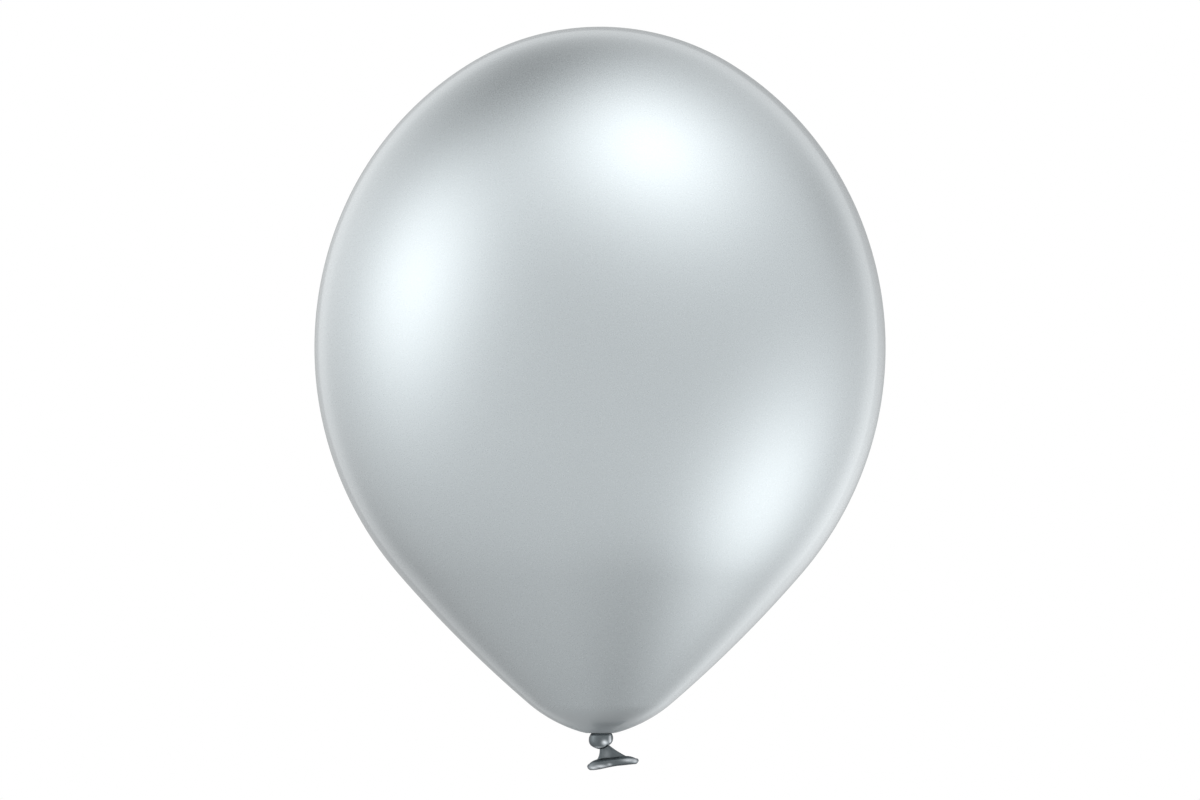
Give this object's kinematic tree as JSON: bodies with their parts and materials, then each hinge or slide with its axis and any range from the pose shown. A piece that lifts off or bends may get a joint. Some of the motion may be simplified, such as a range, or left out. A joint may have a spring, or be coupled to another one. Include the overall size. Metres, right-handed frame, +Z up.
{
  "type": "latex party balloon",
  "caption": "Inflated silver latex party balloon: a smooth teardrop bulb tied off with its own neck, the knot seated in the bulb, with a flared tail and a rolled lip.",
  "frame": {"origin": "the neck on the balloon's axis, where the gathered latex leaves the bulb and a ribbon would be tied", "axes": "+Z up along the bulb's axis towards the crown, +X to the right as pictured, with the viewer looking along +Y"},
  "size_m": [0.2856, 0.2856, 0.3721],
  "materials": {
    "silver_skin": "stretched metallic silver latex, glossy",
    "gathered_latex": "gathered metallic silver latex, glossy",
    "knot_latex": "unstretched dark silver latex, glossy",
    "tail_latex": "unstretched dark silver latex, satin gloss",
    "lip_latex": "rolled, unstretched dark silver latex, glossy"
  },
  "bodies": {
    "root": {"envelope": "silver_skin", "neck": "gathered_latex", "knot_turn": "knot_latex", "tail": "tail_latex", "rolled_lip": "lip_latex"}
  },
  "joints": []
}
